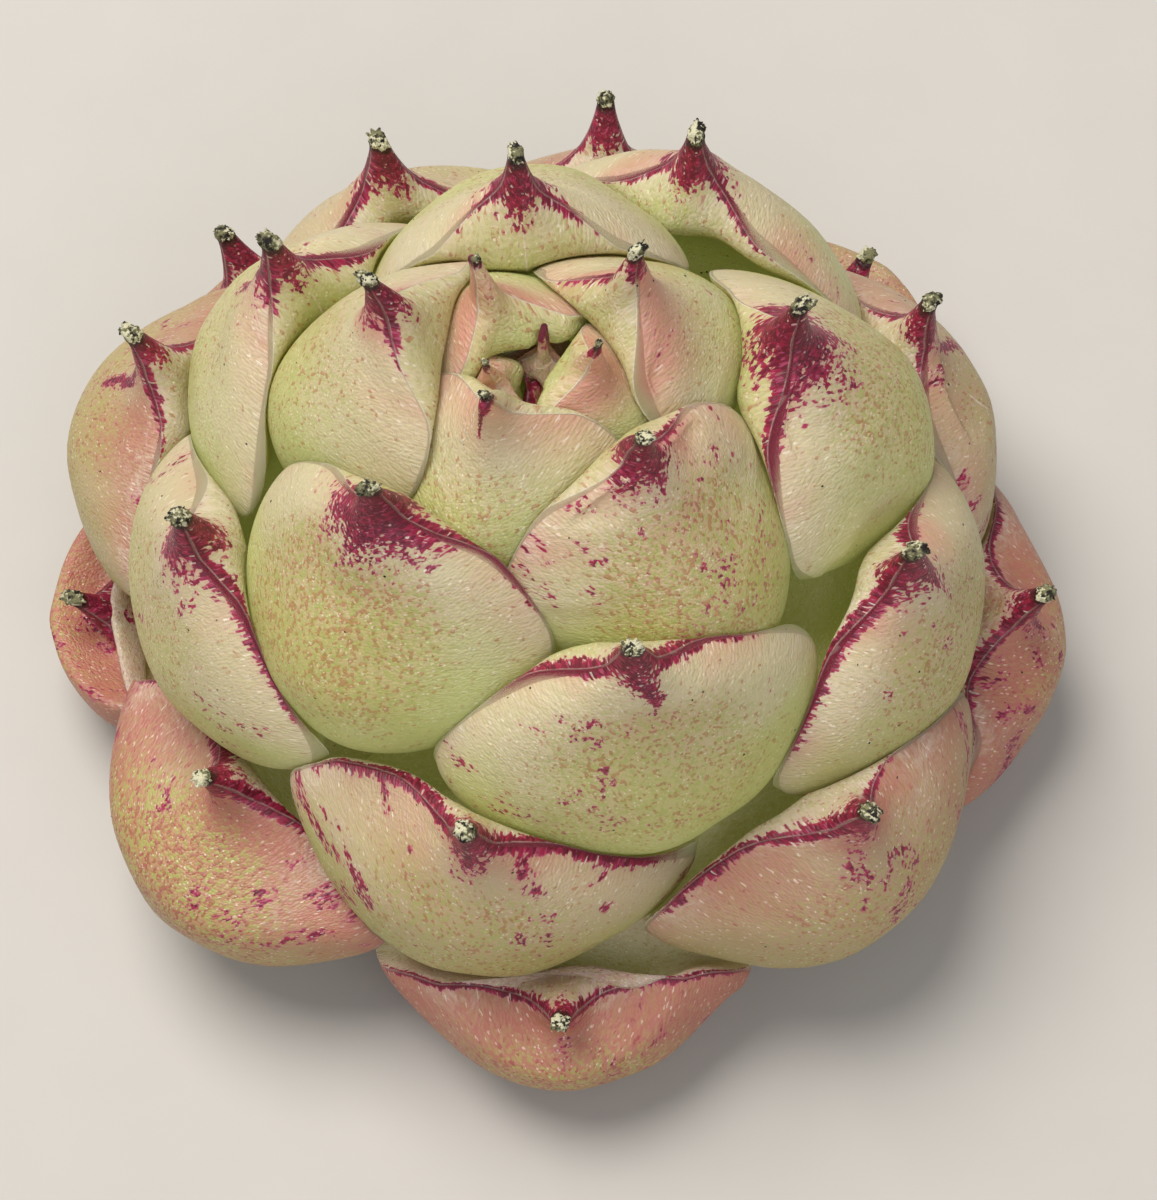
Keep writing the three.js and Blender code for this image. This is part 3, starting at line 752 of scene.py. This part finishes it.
def cellGroup():
    # Domed surface cells with two random numbers each
    tree, given, result = newGroup(
        "skinCells",
        [("Place", "NodeSocketVector", None), ("Per Unit", "NodeSocketFloat", 11.0)],
        [("Chance", "NodeSocketFloat"), ("Second", "NodeSocketFloat"), ("Dome", "NodeSocketFloat")],
    )
    cells = addNode(tree, "ShaderNodeTexVoronoi", voronoi_dimensions="2D", feature="F1")
    tree.links.new(given.outputs["Place"], cells.inputs["Vector"])
    tree.links.new(given.outputs["Per Unit"], cells.inputs["Scale"])
    apart = addNode(tree, "ShaderNodeSeparateColor")
    tree.links.new(cells.outputs["Color"], apart.inputs[0])
    tree.links.new(apart.outputs[0], result.inputs["Chance"])
    tree.links.new(apart.outputs[1], result.inputs["Second"])
    tree.links.new(sums(tree, "SUBTRACT", 1.0, cells.outputs["Distance"]), result.inputs["Dome"])
    return tree


crustLooks = {
    "flake": "#CFCBAA", "olive": "#7A7856", "pit": "#17110D",
    "lumpsPerMetre": 2600.0, "flakesPerMetre": 5200.0, "partsPerMetre": 900.0,
    "relief": 0.2 * mm, "reliefStrength": 0.9, "roughness": 0.85,
}


def crustSkin():
    # Dead, dry tissue: cream and olive flakes with black pits, some ends darker than others
    material = bpy.data.materials.new("dryTip")
    material.use_nodes = True
    tree = material.node_tree
    shader = tree.nodes["Principled BSDF"]
    looks = crustLooks
    spot = addNode(tree, "ShaderNodeTexCoord").outputs["Object"]
    lumps = noise(tree, spot, looks["lumpsPerMetre"], 3.0, 0.65)
    flakes = noise(tree, spot, looks["flakesPerMetre"], 2.0, 0.6)
    parts = noise(tree, spot, looks["partsPerMetre"], 1.0, 0.5)
    colour = blended(tree, between(tree, lumps, 0.4, 0.56), ink(looks["pit"]), ink(looks["olive"]))
    flaking = sums(tree, "ADD", flakes, sums(tree, "MULTIPLY", sums(tree, "SUBTRACT", parts, 0.5), 0.9))
    colour = blended(tree, between(tree, flaking, 0.5, 0.6), colour, ink(looks["flake"]))
    tree.links.new(colour, shader.inputs["Base Color"])
    shader.inputs["Roughness"].default_value = looks["roughness"]
    tree.links.new(bumped(tree, lumps, looks["relief"], looks["reliefStrength"]), shader.inputs["Normal"])
    return material


leafInks = {
    "deep": "#BFC57A",
    "pale": "#CFC29C",
    "rose": "#C98D7A",
    # ripening red of older leaves, with painted shade darkening them
    "ripeAndPaintedShade": "#CFA29C",
    "tan": "#BA9A62",
    "milk": "#DED3C0",
    "freckle": "#A8683F",
    "redFreckle": "#9E3B42",
    "greenCell": "#A9AE5C",
    "crimson": "#9A1A40",
    "darkCrimson": "#651028",
    "pinkCell": "#BF5578",
    "margin": "#EBDFCC",
    # painted highlight: near-white flecks that stand in for glints of light on the skin
    "paintedGlint": "#FFF6E2",
    "scorch": "#2A0D12",
    # painted glow: emission colour for the hidden, deep parts of the leaves
    "paintedGlow": "#3E401C",
}
leafCoat = {
    "cellsPerMm": 8.0, "flecksPerMm": 14.0, "cellStretch": (0.88, 1.0, 1.0),
    "streaksPerMm": 1.6, "streakStretch": (1.3, 1.9, 1.0), "mottlePerMm": 2.2,
    "greenFrom": 3.5, "greenFull": 13.0,
    # roughness is lowered where the painted highlight flecks lie
    "roughness": 0.36, "roughnessSpread": 0.16, "paintedGlintPolish": 0.3,
    "relief": 0.08 * mm, "reliefStrength": 0.8,
    "lightThrough": 0.4, "lightRadius": (1.5, 1.1, 0.5), "lightReach": 1.3 * mm,
}


def leafSkin(cells):
    material = bpy.data.materials.new("leafSkin")
    material.use_nodes = True
    material.cycles.emission_sampling = "NONE"  # keeps the faint glow from being sampled as a lamp
    tree = material.node_tree
    shader = tree.nodes["Principled BSDF"]
    coat = leafCoat
    inks = {name: ink(code) for name, code in leafInks.items()}
    place, _, _, depth = attribute(tree, "place")
    _, red, blush, freckle = attribute(tree, "pigment")
    _, bloom, line, dry = attribute(tree, "coat")
    _, paintedGlow, ageAndPaintedShade, _ = attribute(tree, "paintedGlowAndAge")
    cellPlace = stretched(tree, place, coat["cellStretch"])
    small = placeGroup(tree, cells, **{"Place": cellPlace, "Per Unit": coat["cellsPerMm"]})
    tiny = placeGroup(tree, cells, **{"Place": place, "Per Unit": coat["flecksPerMm"]})
    streaks = noise(tree, stretched(tree, place, coat["streakStretch"]), coat["streaksPerMm"], 1.5, 0.65)
    mottle = noise(tree, place, coat["mottlePerMm"], 2.0, 0.6)
    uneven = sums(tree, "SUBTRACT", mottle, 0.5)

    # Flesh: pale at the tip, yellow-green deeper in, blushed, and milky where the wax is thick
    deepness = between(tree, depth, coat["greenFrom"], coat["greenFull"])
    colour = blended(tree, deepness, inks["pale"], inks["deep"])
    rosy = sums(tree, "SUBTRACT", blush, sums(tree, "MULTIPLY", deepness, 0.3))
    colour = blended(tree, between(tree, rosy, 0.0, 1.0, 0.0, 0.95), colour, inks["rose"])
    # Older, lower leaves: redder with ripening, and darker as painted shade
    colour = blended(tree, between(tree, ageAndPaintedShade, 0.0, 1.0, 0.0, 0.65), colour, inks["ripeAndPaintedShade"], "MULTIPLY")
    milky = sums(tree, "MULTIPLY", bloom, mottle)
    colour = blended(tree, between(tree, milky, 0.15, 0.65, 0.0, 0.6), colour, inks["milk"])

    # Freckles, one skin cell each
    colour = blended(tree, between(tree, freckle, 0.1, 1.0, 0.0, 0.5), colour, inks["tan"])
    greenish = between(tree, freckle, 0.0, 0.8, 0.12, 0.7)
    greenish = sums(tree, "MULTIPLY", between(tree, small["Second"], 0.5, 0.7), greenish)
    colour = blended(tree, greenish, colour, inks["greenCell"])
    spotted = sums(tree, "ADD", small["Chance"], sums(tree, "MULTIPLY", freckle, 0.36))
    spotted = sums(tree, "ADD", spotted, sums(tree, "MULTIPLY", uneven, 0.8))
    dotted = blended(tree, between(tree, blush, 0.15, 0.65), inks["freckle"], inks["redFreckle"])
    colour = blended(tree, between(tree, spotted, 0.98, 1.12, 0.0, 0.62), colour, dotted)

    # Crimson, with an edge broken up by cells and streaks
    broken = sums(tree, "MULTIPLY", sums(tree, "SUBTRACT", small["Chance"], 0.5), 0.75)
    broken = sums(tree, "ADD", broken, sums(tree, "MULTIPLY", sums(tree, "SUBTRACT", streaks, 0.5), 1.9))
    broken = sums(tree, "MULTIPLY", broken, between(tree, red, 0.0, 0.45, 0.5, 1.0))
    strength = sums(tree, "ADD", red, broken)
    stained = between(tree, strength, 0.56, 0.7)
    tone = sums(tree, "MULTIPLY", sums(tree, "SUBTRACT", 1.2, strength), 0.6)
    tone = sums(tree, "ADD", small["Second"], tone)
    stain = blended(tree, between(tree, tone, 0.1, 1.1), inks["darkCrimson"], inks["crimson"])
    stain = blended(tree, between(tree, strength, 0.95, 0.6, 0.0, 0.45), stain, inks["pinkCell"])
    stain = blended(tree, between(tree, tiny["Chance"], 0.84, 0.97, 0.0, 0.5), stain, inks["pinkCell"])
    colour = blended(tree, between(tree, strength, 0.2, 0.7, 0.0, 0.25), colour, inks["pinkCell"])
    colour = blended(tree, stained, colour, stain)

    # Painted highlight flecks, the pale lines and the scorched ring below the dry end
    paintedGlint = between(tree, tiny["Second"], 0.965, 0.985, 0.0, 0.4)
    colour = blended(tree, paintedGlint, colour, inks["paintedGlint"])
    paleLine = between(tree, line, 0.07, 0.03)
    paleLine = sums(tree, "MULTIPLY", paleLine, between(tree, mottle, 0.35, 0.6, 0.15, 0.75))
    paleLine = sums(tree, "MULTIPLY", paleLine, between(tree, stained, 0.0, 1.0, 1.0, 0.35))
    colour = blended(tree, paleLine, colour, inks["margin"])
    scorch = sums(tree, "ADD", dry, sums(tree, "MULTIPLY", uneven, 0.5))
    scorch = between(tree, scorch, -0.4, -0.05, 0.0, 0.9)
    colour = blended(tree, scorch, colour, inks["scorch"])
    tree.links.new(colour, shader.inputs["Base Color"])

    gloss = sums(tree, "ADD", coat["roughness"], sums(tree, "MULTIPLY", mottle, coat["roughnessSpread"]))
    gloss = sums(tree, "SUBTRACT", gloss, sums(tree, "MULTIPLY", paintedGlint, coat["paintedGlintPolish"]))
    tree.links.new(gloss, shader.inputs["Roughness"])
    height = sums(tree, "ADD", sums(tree, "MULTIPLY", small["Dome"], 0.5), mottle)
    height = sums(tree, "ADD", height, sums(tree, "MULTIPLY", paleLine, 0.6))
    tree.links.new(bumped(tree, height, coat["relief"], coat["reliefStrength"]), shader.inputs["Normal"])
    # Painted glow: a faint emission on the hidden and deep parts, in place of light passing through the
    # flesh
    tree.links.new(blended(tree, paintedGlow, ink("#000000"), inks["paintedGlow"]), shader.inputs["Emission Color"])
    shader.inputs["Emission Strength"].default_value = 1.0
    shader.subsurface_method = "BURLEY"
    shader.inputs["Subsurface Weight"].default_value = coat["lightThrough"]
    shader.inputs["Subsurface Radius"].default_value = coat["lightRadius"]
    shader.inputs["Subsurface Scale"].default_value = coat["lightReach"]
    return material


skinCells = cellGroup()
leafMaterials = [leafSkin(skinCells), crustSkin()]
leafBlockers = []
leaves = [leafPiece(rank, leafBlockers, leafMaterials) for rank in range(rosetteForm["leafCount"])]
print("leaves made", len(leaves))


# Grains of soil and dust on the leaves
crumbs = {
    "perSquareMetre": 52000.0, "seed": 11, "largest": 0.07 * mm,
    "leastShape": (0.3, 0.3, 0.15), "mostShape": (1.0, 0.8, 0.5),
    "dark": "#1C1510", "light": "#B9A98A", "patchesPerMetre": 450.0,
}


def crumbTree(material):
    tree = bpy.data.node_groups.new("scatterCrumbs", "GeometryNodeTree")
    face = tree.interface
    face.new_socket("Geometry", in_out="INPUT", socket_type="NodeSocketGeometry")
    for name, kind in (("Per Square Metre", "Float"), ("Seed", "Int"), ("Largest", "Float")):
        face.new_socket(name, in_out="INPUT", socket_type="NodeSocket" + kind)
    face.new_socket("Geometry", in_out="OUTPUT", socket_type="NodeSocketGeometry")
    given, result = addNode(tree, "NodeGroupInput"), addNode(tree, "NodeGroupOutput")
    spots = addNode(tree, "GeometryNodeDistributePointsOnFaces")
    tree.links.new(given.outputs["Geometry"], spots.inputs["Mesh"])
    tree.links.new(given.outputs["Per Square Metre"], spots.inputs["Density"])
    tree.links.new(given.outputs["Seed"], spots.inputs["Seed"])
    grain = addNode(tree, "GeometryNodeMeshIcoSphere")
    grain.inputs["Subdivisions"].default_value = 2
    tree.links.new(given.outputs["Largest"], grain.inputs["Radius"])
    size = addNode(tree, "FunctionNodeRandomValue", data_type="FLOAT_VECTOR")
    size.inputs["Min"].default_value = crumbs["leastShape"]
    size.inputs["Max"].default_value = crumbs["mostShape"]
    tree.links.new(given.outputs["Seed"], size.inputs["Seed"])
    put = addNode(tree, "GeometryNodeInstanceOnPoints")
    tree.links.new(spots.outputs["Points"], put.inputs["Points"])
    tree.links.new(grain.outputs["Mesh"], put.inputs["Instance"])
    tree.links.new(spots.outputs["Rotation"], put.inputs["Rotation"])
    tree.links.new(size.outputs["Value"], put.inputs["Scale"])
    real = addNode(tree, "GeometryNodeRealizeInstances")
    tree.links.new(put.outputs["Instances"], real.inputs["Geometry"])
    coat = addNode(tree, "GeometryNodeSetMaterial")
    coat.inputs["Material"].default_value = material
    tree.links.new(real.outputs["Geometry"], coat.inputs["Geometry"])
    tree.links.new(coat.outputs["Geometry"], result.inputs["Geometry"])
    return tree


def crumbSkin():
    material = bpy.data.materials.new("crumbSkin")
    material.use_nodes = True
    tree = material.node_tree
    shader = tree.nodes["Principled BSDF"]
    spot = addNode(tree, "ShaderNodeTexCoord").outputs["Object"]
    patch = noise(tree, spot, crumbs["patchesPerMetre"], 2.0, 0.6)
    colour = blended(tree, between(tree, patch, 0.52, 0.58), ink(crumbs["dark"]), ink(crumbs["light"]))
    tree.links.new(colour, shader.inputs["Base Color"])
    shader.inputs["Roughness"].default_value = 0.8
    return material


def crumbPiece(leaves):
    skin = bpy.data.meshes.new("allLeaves")
    points, faces, count = [], [], 0
    for leaf in leaves:
        mesh = leaf.data
        flat = np.empty(3 * len(mesh.vertices))
        mesh.vertices.foreach_get("co", flat)
        points.append(flat.reshape(-1, 3))
        faces += [[corner + count for corner in face.vertices] for face in mesh.polygons]
        count += len(mesh.vertices)
    skin.from_pydata(np.concatenate(points).tolist(), [], faces)
    carrier = bpy.data.objects.new("crumbCarrier", skin)
    bpy.context.scene.collection.objects.link(carrier)
    scatter = carrier.modifiers.new("scatter", "NODES")
    scatter.node_group = crumbTree(crumbSkin())
    values = {
        "Per Square Metre": crumbs["perSquareMetre"],
        "Seed": crumbs["seed"],
        "Largest": crumbs["largest"],
    }
    for item in scatter.node_group.interface.items_tree:
        if item.name in values and item.in_out == "INPUT":
            scatter[item.identifier] = values[item.name]
    seen = carrier.evaluated_get(bpy.context.evaluated_depsgraph_get())
    mesh = bpy.data.meshes.new_from_object(seen)
    mesh.name = "leafCrumbs"
    piece = bpy.data.objects.new("leafCrumbs", mesh)
    bpy.data.objects.remove(carrier)
    bpy.context.scene.collection.objects.link(piece)
    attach(piece, "root")
    return len(mesh.polygons)


print("crumbs made, faces", crumbPiece(leaves))


# The stem's stump
stemLooks = {
    "sides": 96, "rings": 60,
    "scarDepth": 0.12, "grainPerMetre": 600.0, "relief": 0.2 * mm, "reliefStrength": 0.7,
    "dark": "#7C7A45", "light": "#B9AE78", "flake": "#D9D2AA", "crack": "#3A2C1C",
}


def stemSkin():
    material = bpy.data.materials.new("stemSkin")
    material.use_nodes = True
    tree = material.node_tree
    shader = tree.nodes["Principled BSDF"]
    spot = addNode(tree, "ShaderNodeTexCoord").outputs["Object"]
    looks = stemLooks
    grain = noise(tree, spot, looks["grainPerMetre"], 4.0, 0.6)
    colour = blended(tree, between(tree, grain, 0.35, 0.65), ink(looks["dark"]), ink(looks["light"]))
    colour = blended(tree, between(tree, grain, 0.55, 0.7, 0.0, 0.6), colour, ink(looks["flake"]))
    colour = blended(tree, between(tree, grain, 0.36, 0.3), colour, ink(looks["crack"]))
    tree.links.new(colour, shader.inputs["Base Color"])
    tree.links.new(between(tree, grain, 0.0, 1.0, 0.6, 0.9), shader.inputs["Roughness"])
    tree.links.new(bumped(tree, grain, looks["relief"], looks["reliefStrength"]), shader.inputs["Normal"])
    return material


def stemPiece():
    # Rings from the middle of the cut, round its edge and up to the growing tip
    form, sides = rosetteForm, stemLooks["sides"]
    top = form["stemHeight"] + form["stemDome"]
    heights = [0, 0, 0.12, 0.3] + list(np.linspace(0.6, top, stemLooks["rings"]))
    rings = []
    for k, height in enumerate(heights):
        radius = max(0.02, float(stemRadius(height)))
        if k < 3:
            radius = (0.05, radius - 0.25, radius - 0.08)[k]
        angle = np.linspace(0, 2 * np.pi, sides, endpoint=False)
        scars = stemLooks["scarDepth"] * (softNoise(angle * 3.5, 0 * angle + height * 0.9, 5.0) - 0.5)
        reach = radius + (scars if 3 <= k < len(heights) - 3 else 0)
        rings.append(np.stack([reach * np.cos(angle), reach * np.sin(angle), 0 * angle + height], 1))
    points = np.concatenate(rings + [[[0, 0, 0]], [[0, 0, heights[-1] + 0.005]]])
    faces = []
    for row in range(len(heights) - 1):
        for j in range(sides):
            a, b = row * sides + j, row * sides + (j + 1) % sides
            faces.append((a, b, b + sides, a + sides))
    bottom, top = len(points) - 2, len(points) - 1
    for j in range(sides):
        faces.append((bottom, (j + 1) % sides, j))
        faces.append((top, top - 1 - sides + j, top - 1 - sides + (j + 1) % sides))
    mesh = bpy.data.meshes.new("stemStump")
    mesh.from_pydata([tuple(p * mm) for p in points], [], faces)
    mesh.shade_smooth()
    mesh.materials.append(stemSkin())
    piece = bpy.data.objects.new("stemStump", mesh)
    bpy.context.scene.collection.objects.link(piece)
    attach(piece, "root")
    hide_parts("stem")


stemPiece()
print("stem made")

# Floor and light
stageSetup = {
    "floorSize": 1.2,
    "floorColour": "#C9C5BE",
    "skyColour": "#F2F4F8",
    "skyStrength": 0.26,
    "lamps": {
        "key": {"place": (-0.08, 0.09, 0.295), "size": 0.24, "power": 1.1, "tint": "#FFFBF6"},
        "fill": {"place": (0.06, -0.26, 0.2), "size": 0.3, "power": 0.36, "tint": "#F8F8FF"},
    },
}


def floorMaterial():
    material = bpy.data.materials.new("paleFloor")
    material.use_nodes = True
    tree = material.node_tree
    shader = tree.nodes["Principled BSDF"]
    spot = addNode(tree, "ShaderNodeTexCoord").outputs["Object"]
    grain = noise(tree, spot, 220.0, 3.0, 0.5)
    pale = ink(stageSetup["floorColour"])
    shade = tuple(0.95 * c for c in pale[:3]) + (1.0,)
    tree.links.new(blended(tree, grain, shade, pale), shader.inputs["Base Color"])
    shader.inputs["Roughness"].default_value = 0.85
    return material


def setStage():
    half = stageSetup["floorSize"] / 2
    corners = [(-half, -half, 0), (half, -half, 0), (half, half, 0), (-half, half, 0)]
    mesh = bpy.data.meshes.new("floor")
    mesh.from_pydata(corners, [], [(0, 1, 2, 3)])
    mesh.materials.append(floorMaterial())
    floor = bpy.data.objects.new("floor", mesh)
    bpy.context.scene.collection.objects.link(floor)
    middle = Vector((0, 0, 0.012))
    for name, lamp in stageSetup["lamps"].items():
        data = bpy.data.lights.new(name, "AREA")
        data.shape = "DISK"
        data.size = lamp["size"]
        data.energy = lamp["power"]
        data.color = ink(lamp["tint"])[:3]
        light = bpy.data.objects.new(name, data)
        light.location = lamp["place"]
        light.rotation_euler = (middle - light.location).to_track_quat("-Z", "Y").to_euler()
        bpy.context.scene.collection.objects.link(light)
    world = bpy.data.worlds.new("studio")
    world.use_nodes = True
    world.node_tree.nodes["Background"].inputs["Color"].default_value = ink(stageSetup["skyColour"])
    world.node_tree.nodes["Background"].inputs["Strength"].default_value = stageSetup["skyStrength"]
    bpy.context.scene.world = world


setStage()
bpy.context.scene.view_settings.view_transform = "Standard"
print("stage set")
